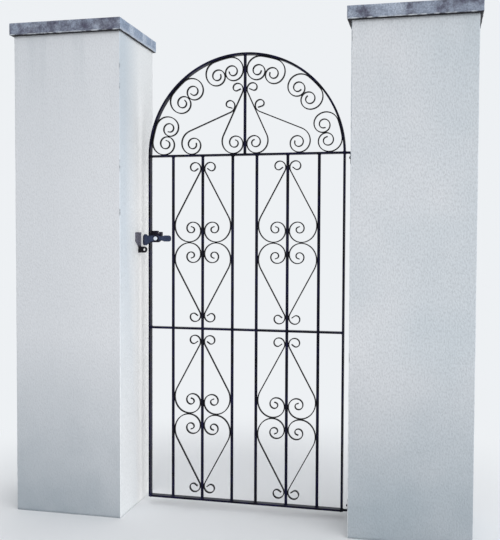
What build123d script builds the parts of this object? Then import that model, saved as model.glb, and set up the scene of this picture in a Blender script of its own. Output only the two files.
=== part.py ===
from build123d import *
import math
import os

os.makedirs("parts", exist_ok=True)

# Garden gate leaf hung between two rendered piers. Millimetres, +Z up, X across the opening.
# The origin is at ground level, in the middle of the opening and of the piers' depth.
# The leaf opens towards +Y about two pins on the +X side.

# clearances
seat_gap = 0.05           # paint-thin gap where a scroll is tacked to a neighbour
running_gap = 0.08        # radial play of a pin in its eye
bolt_gap = 0.05           # radial play of the lever on its bolt
slide_gap = 0.1           # side play between the lever, its bracket and the bolt's head
pass_gap = 5.0            # height at which the lever's nose passes over the keeper's foot
hole_play = 0.05          # radial play of an infill bar in the punched mid rail

# leaf frame, flat bar on edge
bar_face = 8.0            # width seen from the front
bar_deep = 25.0           # depth along Y
side_gap = 40.5           # between each stile and the pier beside it
rail_pitch = 709.25       # bottom rail to mid rail to spring rail
ground_gap = 25.0         # under the bottom rail
gate_y = 33.5             # the leaf's plane behind the piers' middle

# infill bars
infill_r = 6.0
first_bar = 50.0          # from the middle of the leaf to the nearest bar
side_bay = 100.0          # from the outermost bar to the stile's axis

# scroll strip
strip_thick = 4.0
strip_deep = 10.0
fan = 30.0                # a wound end is made of arcs that each turn this far

# long scrolls in the panels
panel_tip_flat = 8.0      # straight tip of the wide end
panel_tip_r = 9.55        # first arc of the wide end, to the strip's middle
panel_growth = 1.109      # each next arc is wider by this factor
panel_curl_flat = 13.0
panel_curl_r = 12.6
panel_curl_growth = 1.086 # the same factor for the curl
panel_curl_turn = 335.0   # degrees that the curl is wound through
panel_curl_drop = 22.5    # free height between the curl and the rail

# long scrolls beside the centre post of the crown
inner_tip_flat = 2.0
inner_tip_r = 12.1
inner_growth = 1.077      # factor from one arc to the next
inner_wide = 86.7         # width of the wide end, to the strip's middle
inner_curl_flat = 17.0
inner_curl_r = 10.6
inner_curl_growth = 1.11  # factor from one arc to the next
inner_curl_turn = 318.0   # degrees
inner_curl_drop = 110.0   # free height between the curl and the top of the bow

# long scrolls outside them
outer_tip_flat = 7.5
outer_tip_r = 14.2
outer_growth = 1.073      # factor from one arc to the next
outer_wide = 80.0
outer_free = 131.0        # free width between the wide end and the stile
outer_curl_flat = 17.5
outer_curl_r = 10.5
outer_curl_growth = 1.112 # factor from one arc to the next
outer_curl_turn = 322.0   # degrees
outer_curl_drop = 178.0   # free height between the curl and the top of the bow

# C scrolls under the bow
c_tip_flat = 7.5
c_tip_r = 14.2
c_growth = 1.07           # factor from one arc to the next
c_turn = 500.0            # degrees
c_shoulder_r = 50.0       # between the wound end and the back that follows the bow
c_shoulder_turn = 120.0   # degrees

# piers
opening = 894.0
pier_wide = 450.0
pier_deep = 375.0
latch_pier_high = 1913.0
hinge_pier_high = 1902.0  # laid a little lower than the other
coping_thick = 47.0
coping_over = 12.0        # beyond the pier at its outer end
coping_ledge = 18.0       # beyond the pier at its front and back
latch_coping_in = 8.5     # beyond each pier into the opening
hinge_coping_in = 15.0
coping_nose = 4.0

# hinges
pin_r = 5.0
pin_off = 17.5            # from the hinge pier to the pins' axis
pin_bend = 10.0
pin_length = 45.0
plate_thick = 5.0
plate_wide = 30.0
plate_high = 84.0
ear_thick = 6.0
ear_r = 9.5
ear_off = 8.0             # from the end of the pin's bend to the ear
collar_r = 8.0
collar_thick = 5.0
collar_gap = 0.15

# latch pivot, from the left stile's axis and above the mid rail's axis
pivot_in = 34.0
pivot_up = 370.0
pivot_r = 4.0
head_r = 8.5
head_thick = 4.5

# lever, sizes from the pivot
lever_thick = 6.0
lever_up = 12.0           # top edge
lever_down = 12.3         # belly
nose_reach = 56.5         # outer side of the nose
nose_wide = 14.0          # width of the nose's lower end
nose_root = 20.0          # where the belly turns down to the nose
nose_round = 4.0
bump_out = 45.5           # thumb bump on the top edge
bump_r = 8.0
bump_up = 10.0
shoulder_in = 7.5         # where the top edge falls to the neck
neck_in = 23.5
neck_half = 7.5
paddle_start = 36.0
paddle_end = 64.5
paddle_half = 12.5
paddle_round = 10.0
neck_round = 9.0

# latch bracket on the left stile, heights from the pivot
bracket_front = 24.0      # forward of the leaf's plane
bracket_deep = 20.0
bracket_low = 16.0
bracket_up = 20.6
bracket_end = 21.5        # beyond the pivot
bracket_slope = 16.0      # width of the slanted lower corner
slope_rise = 11.0
tall_lug_wide = 28.0
tall_lug_up = 32.0
tall_lug_off = 6.0        # from the stile to the taller lug
short_lug_wide = 9.5
short_lug_up = 27.2
bracket_round = 1.5

# keeper on the left reveal
keeper_thick = 4.0
keeper_back = 21.0        # back of the turned-out flange, forward of the leaf's plane
keeper_deep = 38.0        # depth of the flange on the wall
keeper_drop = 59.0        # from the pivot down to the keeper's lower end
keeper_foot_high = 24.0   # wall flange beside the foot
keeper_slope_high = 24.0  # from there to where the wall flange has its full depth
keeper_upper_high = 36.5  # from there to the top
keeper_round = 4.0
foot_r = 12.75
foot_reach = 38.75        # from the wall to the foot's round end
keeper_turned = 12.0      # from the wall to the edge of the turned-out flange
padlock_r = 5.0

# search for the angles at which scrolls seat
quarter_turn = 90
half_turn = 180
max_wound = 1080          # degrees
scan_steps = 24
halvings = 32

half_bar = bar_face / 2
half_strip = strip_thick / 2
touch = half_strip + seat_gap
bottom_z = ground_gap + half_bar
mid_z = bottom_z + rail_pitch
spring_z = mid_z + rail_pitch
reveal = opening / 2
stile_out = reveal - side_gap
stile_axis = stile_out - half_bar
stile_in = stile_axis - half_bar
pin_axis = reveal - pin_off
bar_pitch = (stile_axis - side_bay - first_bar) / 2
bay_axis = first_bar + bar_pitch
infill_axes = (first_bar, bay_axis, bay_axis + bar_pitch)
pivot_x = pivot_in - stile_axis
pivot_z = mid_z + pivot_up
lever_back = -bracket_front - slide_gap
lever_front = lever_back - lever_thick


def box(x0, x1, y0, y1, z0, z1):
    # block between two corners
    return Pos((x0 + x1) / 2, (y0 + y1) / 2, (z0 + z1) / 2) * Box(x1 - x0, y1 - y0, z1 - z0)


def rod(radius, x, y, z0, z1):
    # upright round bar
    return Pos(x, y, (z0 + z1) / 2) * Cylinder(radius, z1 - z0)


def rod_y(radius, x, z, y0, y1):
    # round bar along Y
    return Pos(x, (y0 + y1) / 2, z) * (Rot(90, 0, 0) * Cylinder(radius, y1 - y0))


def save(node, shape):
    export_step(shape, "parts/" + node + ".step")


def hang(node, shape):
    # what is drawn about the leaf's own plane goes to where the leaf hangs
    save(node, Pos(0, gate_y, 0) * shape)


def plate(outline, y0, y1):
    # closed outline in X and Z, thickened along Y; each corner has its own rounding
    flat = Plane(origin=(0, y1, 0), x_dir=(1, 0, 0), z_dir=(0, -1, 0))
    sketch = make_face(Polyline(*[(x, z) for x, z, round_r in outline], close=True))
    for x, z, round_r in outline:
        if round_r > 0:
            corner = sketch.vertices().sort_by_distance((x, z, 0))[0]
            sketch = fillet(corner, round_r)
    return extrude(flat * sketch, amount=y1 - y0)


# A strip's middle line is a chain of arcs in X and Z. One arc is its start, the heading there
# in degrees, how far it turns to the left, and its radius; a straight has a length and no radius.


def along(arc, share):
    x, z, heading, amount, radius = arc
    start = math.radians(heading)
    if radius == 0:
        return x + amount * share * math.cos(start), z + amount * share * math.sin(start), heading
    end = math.radians(heading + amount * share)
    left = math.copysign(radius, amount)
    x += left * (math.sin(end) - math.sin(start))
    z -= left * (math.cos(end) - math.cos(start))
    return x, z, heading + amount * share


def move(arcs, dx, dz, turned=0.0):
    c = math.cos(math.radians(turned))
    s = math.sin(math.radians(turned))
    return [(x * c - z * s + dx, x * s + z * c + dz, h + turned, a, r) for x, z, h, a, r in arcs]


def flip_x(arcs):
    return [(-x, z, half_turn - h, a if r == 0 else -a, r) for x, z, h, a, r in arcs]


def flip_z(arcs):
    return [(x, -z, -h, a if r == 0 else -a, r) for x, z, h, a, r in arcs]


def backwards(arcs):
    # the same line, run from its end to its start
    chain = []
    for arc in reversed(arcs):
        x, z, heading = along(arc, 1.0)
        chain.append((x, z, heading + half_turn, arc[3] if arc[4] == 0 else -arc[3], arc[4]))
    return chain


def extent(arcs):
    # an arc reaches furthest at its ends or where it runs level or upright
    found = []
    for arc in arcs:
        heading, amount, radius = arc[2:]
        found += [along(arc, 0.0), along(arc, 1.0)]
        if radius > 0:
            low, high = sorted((heading, heading + amount))
            for quarter in range(math.ceil(low / quarter_turn), math.floor(high / quarter_turn) + 1):
                found.append(along(arc, (quarter_turn * quarter - heading) / amount))
    xs = [p[0] for p in found]
    zs = [p[1] for p in found]
    return {"left": min(xs), "right": max(xs), "low": min(zs), "high": max(zs)}


def push(arcs, **places):
    # slide the arcs until each named side is at its place
    for side, place in places.items():
        gap = place - extent(arcs)[side]
        arcs = move(arcs, gap, 0) if side in ("left", "right") else move(arcs, 0, gap)
    return arcs


def wind(bends, heading):
    # from the tip, each bend starts where the last ended; the chain ends with the heading
    arcs = []
    x, z, now = 0.0, 0.0, heading - sum(amount for amount, radius in bends if radius > 0)
    for amount, radius in bends:
        arcs.append((x, z, now, amount, radius))
        x, z, now = along(arcs[-1], 1.0)
    return arcs


def coil(flat, radius, growth, turn):
    # a straight tip, then arcs to the right that widen by the same factor
    bends = [(flat, 0)]
    for i in range(math.ceil(turn / fan)):
        bends.append((-min(fan, turn - i * fan), radius * growth ** i))
    return bends


def solve(miss, low, high):
    # step up to where the miss changes sign, then halve that step until it is found
    step = (high - low) / scan_steps
    start = miss(low) < 0
    while low + step < high and (miss(low + step) < 0) == start:
        low += step
    for i in range(halvings):
        step /= 2
        if (miss(low + step) < 0) == start:
            low += step
    return low


def coil_to_width(flat, radius, growth, wide, heading):
    # the wide end keeps winding until it is as wide as its place

    def spare(turn):
        size = extent(wind(coil(flat, radius, growth, turn), heading))
        return size["right"] - size["left"] - wide

    turn = solve(spare, quarter_turn, max_wound)
    return wind(coil(flat, radius, growth, turn), heading)


def long_scroll(make_curl, make_wide):
    # the straight runs down and to the left, and at one heading it meets both ends without a kink

    def miss(heading):
        x0, z0 = along(make_curl(heading)[-1], 1.0)[:2]
        x1, z1 = along(make_wide(heading + half_turn)[-1], 1.0)[:2]
        t = math.radians(heading)
        return (x1 - x0) * math.sin(t) - (z1 - z0) * math.cos(t)

    heading = solve(miss, -half_turn, -quarter_turn)
    curl = make_curl(heading)
    wide = make_wide(heading + half_turn)
    x0, z0 = along(curl[-1], 1.0)[:2]
    x1, z1 = along(wide[-1], 1.0)[:2]
    straight = (x0, z0, heading, math.hypot(x1 - x0, z1 - z0), 0)
    return straight, curl + [straight] + backwards(wide)


def strip(arcs):
    # both edges of the strip lie half a thickness off its middle line
    edges = []
    ends = []
    for side in (half_strip, -half_strip):
        for arc in arcs:
            places = []
            for share in (0.0, 0.5, 1.0):
                x, z, heading = along(arc, share)
                t = math.radians(heading)
                places.append((x - side * math.sin(t), -strip_deep / 2, z + side * math.cos(t)))
            edges.append(Line(places[0], places[2]) if arc[4] == 0 else ThreePointArc(*places))
            ends.append((places[0], places[2]))
    count = len(arcs)
    edges.append(Line(ends[0][0], ends[count][0]))
    edges.append(Line(ends[count - 1][1], ends[-1][1]))
    return extrude(make_face(edges), amount=strip_deep, dir=(0, 1, 0))


# Panel scroll, about the middle of its bay: it fills the width between two bars, rests on its
# mirror image below and leaves a free height under the rail.
panel_wide = bar_pitch - 2 * (infill_r + touch)
panel_top = rail_pitch / 2 - half_bar - panel_curl_drop - half_strip


def panel_curl(heading):
    arcs = wind(coil(panel_curl_flat, panel_curl_r, panel_curl_growth, panel_curl_turn), heading)
    return push(arcs, right=-infill_r - touch, high=panel_top)


def panel_end(heading):
    arcs = coil_to_width(panel_tip_flat, panel_tip_r, panel_growth, panel_wide, heading)
    return push(arcs, right=-infill_r - touch, low=half_strip + seat_gap / 2)


panel_line = long_scroll(panel_curl, panel_end)[1]

# Inner scroll of the crown, about the middle of the spring rail: it leans on the centre post.


def inner_curl(heading):
    arcs = wind(coil(inner_curl_flat, inner_curl_r, inner_curl_growth, inner_curl_turn), heading)
    return push(arcs, right=-infill_r - touch, high=stile_in - inner_curl_drop - half_strip)


def inner_end(heading):
    arcs = coil_to_width(inner_tip_flat, inner_tip_r, inner_growth, inner_wide, heading)
    return push(arcs, right=-infill_r - touch, low=half_bar + touch)


inner_straight, inner_line = long_scroll(inner_curl, inner_end)

# Outer scroll of the crown: its curl leans on the inner scroll's straight.
lean = inner_straight[2]


def outer_curl(heading):
    arcs = wind(coil(outer_curl_flat, outer_curl_r, outer_curl_growth, outer_curl_turn), heading)
    arcs = push(arcs, high=stile_in - outer_curl_drop - half_strip)
    seat = extent(move([inner_straight], 0, 0, -lean))["high"] - strip_thick - seat_gap
    gap = seat - extent(move(arcs, 0, 0, -lean))["high"]
    return move(arcs, -gap / math.sin(math.radians(lean)), 0)


def outer_end(heading):
    arcs = coil_to_width(outer_tip_flat, outer_tip_r, outer_growth, outer_wide, heading)
    return push(arcs, left=outer_free + half_strip - stile_in, low=half_bar + touch)


outer_line = long_scroll(outer_curl, outer_end)[1]

# C scroll, about the bow's centre with its back at the top: the back follows the bow and is
# long enough for the two wound ends to meet.
back_r = stile_in - touch


def c_half(back_turn):
    bends = coil(c_tip_flat, c_tip_r, c_growth, c_turn)
    bends += [(-c_shoulder_turn, c_shoulder_r), (-back_turn, back_r)]
    arcs = wind(bends, 0)
    x, z = along(arcs[-1], 1.0)[:2]
    return move(arcs, -x, back_r - z)


def c_meet(back_turn):
    return extent(c_half(back_turn)[:-2])["right"] + half_strip + seat_gap / 2


c_left = c_half(solve(c_meet, 0, fan))
c_line = c_left + backwards(flip_x(c_left))

# the lowest C is turned down onto the rail, the top one up against the post, one lies between


def c_above_rail(turned):
    return extent(move(c_line, 0, 0, turned))["low"] - half_bar - touch


def c_past_post(turned):
    return extent(move(c_line, 0, 0, turned))["right"] + infill_r + touch


low_turn = solve(c_above_rail, 0, quarter_turn)
top_turn = solve(c_past_post, 0, quarter_turn)

# leaf frame
for name, side in (("left_stile", -1), ("right_stile", 1)):
    x0, x1 = sorted((side * stile_in, side * stile_out))
    hang(name, box(x0, x1, -bar_deep / 2, bar_deep / 2, ground_gap, spring_z))

bow = Cylinder(stile_out, bar_deep) - Cylinder(stile_in, bar_deep)
bow = Pos(0, 0, spring_z) * (Rot(90, 0, 0) * bow)
hang("bow", bow & box(-stile_out, stile_out, -bar_deep, bar_deep, spring_z, spring_z + stile_out))

rail_end = stile_in - seat_gap
for name, z in (("bottom_rail", bottom_z), ("mid_rail", mid_z), ("spring_rail", spring_z)):
    rail = box(-rail_end, rail_end, -bar_deep / 2, bar_deep / 2, z - half_bar, z + half_bar)
    if name == "mid_rail":
        for x in infill_axes:
            rail -= rod(infill_r + hole_play, x, 0, z - bar_face, z + bar_face)
            rail -= rod(infill_r + hole_play, -x, 0, z - bar_face, z + bar_face)
    hang(name, rail)

# infill bars run through the mid rail and butt on the bottom and spring rails
for i, x in enumerate(sorted([-axis for axis in infill_axes] + list(infill_axes))):
    hang("bar_" + str(i + 1), rod(infill_r, x, 0, bottom_z + half_bar, spring_z - half_bar))

# the crown's centre post ends in the curve of the bow
post = rod(infill_r, 0, 0, spring_z + half_bar, spring_z + stile_out)
post &= Pos(0, 0, spring_z) * (Rot(90, 0, 0) * Cylinder(stile_in, bar_deep))
hang("crown_post", post)

# scrolls in the crown, in pairs about the centre post
crown = [("inner_scroll", inner_line), ("outer_scroll", outer_line)]
for name, turned in (("c_low", low_turn), ("c_mid", (low_turn + top_turn) / 2), ("c_top", top_turn)):
    crown.append((name, move(c_line, 0, 0, turned)))
for name, line in crown:
    hang(name + "_left", Pos(0, 0, spring_z) * strip(line))
    hang(name + "_right", Pos(0, 0, spring_z) * strip(flip_x(line)))

# four long scrolls in each panel of each bay
for bay, x in (("a", -bay_axis), ("b", bay_axis)):
    for panel, z in (("low", bottom_z + rail_pitch / 2), ("high", mid_z + rail_pitch / 2)):
        for side, across in (("left", panel_line), ("right", flip_x(panel_line))):
            for end, line in (("up", across), ("down", flip_z(across))):
                hang("_".join(("scroll", bay, panel, side, end)), Pos(x, 0, z) * strip(line))

# piers and their copings
latch_side = (-1, latch_pier_high, latch_coping_in)
hinge_side = (1, hinge_pier_high, hinge_coping_in)
for name, (side, high, over) in (("latch", latch_side), ("hinge", hinge_side)):
    x0, x1 = sorted((side * reveal, side * (reveal + pier_wide)))
    y = pier_deep / 2
    save(name + "_pier", box(x0, x1, -y, y, 0, high))
    x0, x1 = sorted((side * (reveal - over), side * (reveal + pier_wide + coping_over)))
    y += coping_ledge
    cap = box(x0, x1, -y, y, high, high + coping_thick)
    save(name + "_coping", chamfer(cap.edges().group_by(Axis.Z)[-1], coping_nose))

# hinges: the upper pin points down and carries the leaf on a collar, the lower one points up
bend_x = pin_axis - pin_bend
for name, z, way in (("upper", spring_z, -1), ("lower", bottom_z, 1)):
    arm = Line((stile_out, 0, z), (bend_x, 0, z))
    side = pin_bend * math.sqrt(0.5)
    halfway = (bend_x + side, 0, z + way * (pin_bend - side))
    bend = ThreePointArc((bend_x, 0, z), halfway, (pin_axis, 0, z + way * pin_bend))
    drop = Line((pin_axis, 0, z + way * pin_bend), (pin_axis, 0, z + way * pin_length))
    section = Plane(origin=(stile_out, 0, z), z_dir=(1, 0, 0)) * Circle(pin_r)
    pin = sweep(section, path=Wire([arm, bend, drop]))
    near = z + way * (pin_bend + ear_off)
    low, high = sorted((near, near + way * ear_thick))
    if way < 0:
        pin += rod(collar_r, pin_axis, 0, high + collar_gap, high + collar_gap + collar_thick)
    hang("hinge_pin_" + name, pin)
    foot = (low + high - plate_high) / 2
    face = reveal - plate_thick
    wall = box(face, reveal, -plate_wide / 2, plate_wide / 2, foot, foot + plate_high)
    wall += box(pin_axis, face, -ear_r, ear_r, low, high) + rod(ear_r, pin_axis, 0, low, high)
    wall -= rod(pin_r + running_gap, pin_axis, 0, low - ear_thick, high + ear_thick)
    hang("hinge_plate_" + name, wall)

# latch bracket: a block welded to the left stile, with two lugs on its top
tall_lug = tall_lug_off - stile_in
right = pivot_x + bracket_end
bracket_outline = [
    (-stile_in, pivot_z - bracket_low, 0),
    (right - bracket_slope, pivot_z - bracket_low, bracket_round),
    (right, pivot_z - bracket_low + slope_rise, bracket_round),
    (right, pivot_z + short_lug_up, bracket_round),
    (right - short_lug_wide, pivot_z + short_lug_up, bracket_round),
    (right - short_lug_wide, pivot_z + bracket_up, 0),
    (tall_lug + tall_lug_wide, pivot_z + bracket_up, 0),
    (tall_lug + tall_lug_wide, pivot_z + tall_lug_up, bracket_round),
    (tall_lug, pivot_z + tall_lug_up, bracket_round),
    (tall_lug, pivot_z + bracket_up, 0),
    (-stile_in, pivot_z + bracket_up, 0),
]
bracket = plate(bracket_outline, -bracket_front, bracket_deep - bracket_front)
bracket -= rod_y(pivot_r, pivot_x, pivot_z, -2 * bracket_front, bracket_deep)
hang("latch_bracket", bracket)

head_back = lever_front - slide_gap
bolt = rod_y(pivot_r, pivot_x, pivot_z, head_back, bracket_deep - bracket_front)
hang("pivot_bolt", bolt + rod_y(head_r, pivot_x, pivot_z, head_back - head_thick, head_back))

# lever: the nose hangs just clear of the keeper's foot, the neck carries a thumb paddle
keeper_z = pivot_z - keeper_drop
nose_z = keeper_z + 2 * foot_r + pass_gap
nose = pivot_x - nose_reach
lever_outline = [
    (nose, pivot_z + lever_up, nose_round),
    (pivot_x + shoulder_in, pivot_z + lever_up, neck_round),
    (pivot_x + neck_in, pivot_z + neck_half, neck_round),
    (pivot_x + paddle_start, pivot_z + paddle_half, nose_round),
    (pivot_x + paddle_end, pivot_z + paddle_half, paddle_round),
    (pivot_x + paddle_end, pivot_z - paddle_half, paddle_round),
    (pivot_x + paddle_start, pivot_z - paddle_half, nose_round),
    (pivot_x + neck_in, pivot_z - neck_half, neck_round),
    (pivot_x - nose_root, pivot_z - lever_down, neck_round),
    (nose + nose_wide, nose_z, nose_round),
    (nose + nose_round, nose_z, nose_round),
    (nose, nose_z + 2 * nose_round, nose_round),
]
lever = plate(lever_outline, lever_front, lever_back)
lever += rod_y(bump_r, pivot_x - bump_out, pivot_z + bump_up, lever_front, lever_back)
lever -= rod_y(pivot_r + bolt_gap, pivot_x, pivot_z, lever_front - lever_thick, lever_back + lever_thick)
hang("latch_lever", lever)

# keeper: a flange on the reveal, and one turned out from it that ends in a foot with a hole
flange_front = -keeper_back - keeper_thick
keeper_slope = keeper_z + keeper_foot_high
keeper_full = keeper_slope + keeper_slope_high
keeper_top = keeper_full + keeper_upper_high
wall_outline = [
    (-keeper_back, keeper_z),
    (flange_front, keeper_z),
    (flange_front, keeper_slope),
    (-keeper_back - keeper_deep, keeper_full),
    (-keeper_back - keeper_deep, keeper_top),
    (-keeper_back, keeper_top),
]
wall = make_face(Polyline(*[(-reveal, y, z) for y, z in wall_outline], close=True))
keeper = extrude(wall, amount=keeper_thick, dir=(1, 0, 0))
rounded = keeper.edges().filter_by(Axis.X).group_by(Axis.Y)[0]
keeper = fillet(rounded, keeper_round)
foot_x = foot_reach - foot_r - reveal
foot_z = keeper_z + foot_r
foot = box(-reveal, foot_x, flange_front, -keeper_back, foot_z - foot_r, foot_z + foot_r)
foot += rod_y(foot_r, foot_x, foot_z, flange_front, -keeper_back)
foot -= rod_y(padlock_r, foot_x, foot_z, flange_front - keeper_thick, 0)
turned = box(-reveal, keeper_turned - reveal, flange_front, -keeper_back, foot_z, keeper_top)
hang("latch_keeper", keeper + foot + turned)
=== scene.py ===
import math
from functools import partial
import bpy
import numpy as np
from mathutils import Matrix, Vector


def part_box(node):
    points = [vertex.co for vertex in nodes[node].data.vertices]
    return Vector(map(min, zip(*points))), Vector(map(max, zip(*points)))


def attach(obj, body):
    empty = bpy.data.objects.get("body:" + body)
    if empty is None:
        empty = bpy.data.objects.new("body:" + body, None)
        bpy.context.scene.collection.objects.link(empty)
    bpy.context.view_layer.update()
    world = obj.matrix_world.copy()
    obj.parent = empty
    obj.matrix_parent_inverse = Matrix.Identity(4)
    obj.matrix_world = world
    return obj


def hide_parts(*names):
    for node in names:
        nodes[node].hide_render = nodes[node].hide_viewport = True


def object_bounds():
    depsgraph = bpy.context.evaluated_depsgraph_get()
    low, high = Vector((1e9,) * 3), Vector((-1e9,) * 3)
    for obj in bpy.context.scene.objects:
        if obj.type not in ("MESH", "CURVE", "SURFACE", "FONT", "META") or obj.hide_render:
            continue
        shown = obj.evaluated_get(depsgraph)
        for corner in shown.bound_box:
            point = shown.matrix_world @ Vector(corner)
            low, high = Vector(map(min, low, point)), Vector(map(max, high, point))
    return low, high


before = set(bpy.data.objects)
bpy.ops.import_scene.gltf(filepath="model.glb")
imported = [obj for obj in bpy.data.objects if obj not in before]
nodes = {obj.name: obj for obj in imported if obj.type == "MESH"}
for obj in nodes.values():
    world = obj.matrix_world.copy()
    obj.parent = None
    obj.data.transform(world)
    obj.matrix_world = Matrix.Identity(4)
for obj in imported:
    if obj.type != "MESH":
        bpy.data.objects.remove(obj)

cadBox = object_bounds()
print("gate frame loaded:", len(nodes), "pieces")


def toLinear(hexColour):
    # sRGB hex to the linear values that a shader socket takes
    parts = [int(hexColour[i:i + 2], 16) / 255 for i in (1, 3, 5)]
    parts = [c / 12.92 if c <= 0.04045 else ((c + 0.055) / 1.055) ** 2.4 for c in parts]
    return (*parts, 1.0)


def addNode(tree, kind, sockets=None, **settings):
    # one shader node: settings are its own properties, and each socket takes a value, an sRGB hex
    # colour, an output to link in, or a node, whose first output in use is linked in
    node = tree.nodes.new("ShaderNode" + kind)
    for name, value in settings.items():
        setattr(node, name, value)
    for name, value in (sockets or {}).items():
        if isinstance(value, bpy.types.Node):
            value = next(output for output in value.outputs if output.enabled)
        if isinstance(value, bpy.types.NodeSocket):
            tree.links.new(value, node.inputs[name])
        elif isinstance(value, str):
            node.inputs[name].default_value = toLinear(value)
        else:
            node.inputs[name].default_value = value
    return node


def perMetre(millimetres):
    # how often a pattern of this size along each axis comes in a metre
    return tuple(1000 / size for size in millimetres)


def newMaterial(name):
    # an empty material, and the call that adds nodes to it
    material = bpy.data.materials.new(name)
    material.use_nodes = True
    material.node_tree.nodes.clear()
    return material, partial(addNode, material.node_tree)


def dress(nodeName, material):
    # the CAD piece keeps its mesh and takes the finish on every slot
    data = nodes[nodeName].data
    if not data.materials:
        data.materials.append(material)
    for i in range(len(data.materials)):
        data.materials[i] = material


def buildPiece(name, points, faces, material, body, smooth=True):
    # a mesh in one finish that rides on one CAD body
    mesh = bpy.data.meshes.new(name)
    mesh.from_pydata(points.tolist(), [], faces)
    mesh.update()
    mesh.polygons.foreach_set("use_smooth", [smooth] * len(mesh.polygons))
    mesh.materials.append(material)
    piece = bpy.data.objects.new(name, mesh)
    bpy.context.scene.collection.objects.link(piece)
    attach(piece, body)
    return piece


def gridFaces(rows, columns):
    # quads of a grid that closes around its columns, rows running up with the outside to the right
    r = np.arange(rows - 1)[:, None]
    c = np.arange(columns)[None, :]
    a = r * columns + c
    b = r * columns + (c + 1) % columns
    return np.stack([a, b, b + columns, a + columns], -1).reshape(-1, 4).tolist()


waveCount = 32
waveSpread = (0.7, 1.4)  # the fewest and the most turns that a wave makes in one wavelength


def waves(points, wavelength, seed, count=waveCount):
    # sum of plane waves in random directions, over the square root of their count: mostly -1.4 to 1.4
    rng = np.random.default_rng(seed)
    heading = rng.normal(size=(3, count))
    heading *= (2 * np.pi / wavelength) * rng.uniform(*waveSpread, count) / np.linalg.norm(heading, axis=0)
    return np.cos(points @ heading + rng.uniform(0, 2 * np.pi, count)).sum(1) / math.sqrt(count)


def waveShare(points, wavelength, seed, count=waveCount):
    # the waves from -1 to 1 brought into 0 to 1, and cut off there
    return (1 + waves(points, wavelength, seed, count)).clip(0, 2) / 2


# finishes: a noise runs from 0 to 1 about its mean of 0.5, so the range that is read from it sets
# how much of the surface a pattern covers, and a value called most says how strong it gets there

renderValues = {
    "paint": "#d4d6d9",
    "cooler": "#c4cbd0",
    # the next two colours are painted light on the reveals: whiter paint, and a bluish tint at the arris
    "litRevealPaint": "#f9f9f8",
    "arris": "#d8e0e7",
    "chipped": "#4b4e54",
    # the next colour is the darkening: streaks, spattered mud and painted shade at the foot, grey and
    # painted shade at the reveals' tops
    "damp": "#7c8992",
    "gritMillimetres": 3.6,
    "gritDeep": 0.0012,
    "dimpleMillimetres": 5.2,
    "dimpleDeep": 0.0018,
    "zScale": 0.55,
    "driftMillimetres": 420.0,
    "bluerPerMetre": 0.4,
    "blotchMillimetres": 142.9,
    "streakMillimetres": (62.5, 62.5, 769.0),
    "knockMillimetres": (1000.0, 1000.0, 76.9),
    "revealSkin": 0.0018,
    "revealFade": 0.0016,
    "knockWide": 0.003,
    "knockFade": 0.0018,
    "bluishFront": -0.14,
    "whiteBack": 0.02,
    "bluishHigh": 1.15,
    "whiteLow": 0.35,
    "whiteMost": 0.7,
    "knockMost": 0.6,
    "latchDimpleTone": 0.92,
    "hingeDimpleTone": 0.85,
    "ridgeTone": 1.01,
    "footDarkHeight": 0.72,
    "footDarkMost": 1.1,
    "lighterFootPatch": 0.46,
    "darkerFootPatch": 0.62,
    "footDarkOnReveal": 0.15,
    "streakLow": 1.45,
    "streakHigh": 1.92,
    "streakMost": 0.16,
    "topGreyLow": 1.15,
    "topGreyHigh": 1.88,
    "topGreyMost": 0.08,
    # on the reveals the grey towards the top is painted shade
    "revealTopShade": 0.36,
    "greyInner": -0.5,
    "greyOuter": -0.76,
    "greyMost": 0.1,
    "dimpleStrength": 0.45,
    "gritStrength": 0.6,
    "rough": 0.92,
    "shine": 0.25,
}


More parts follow.
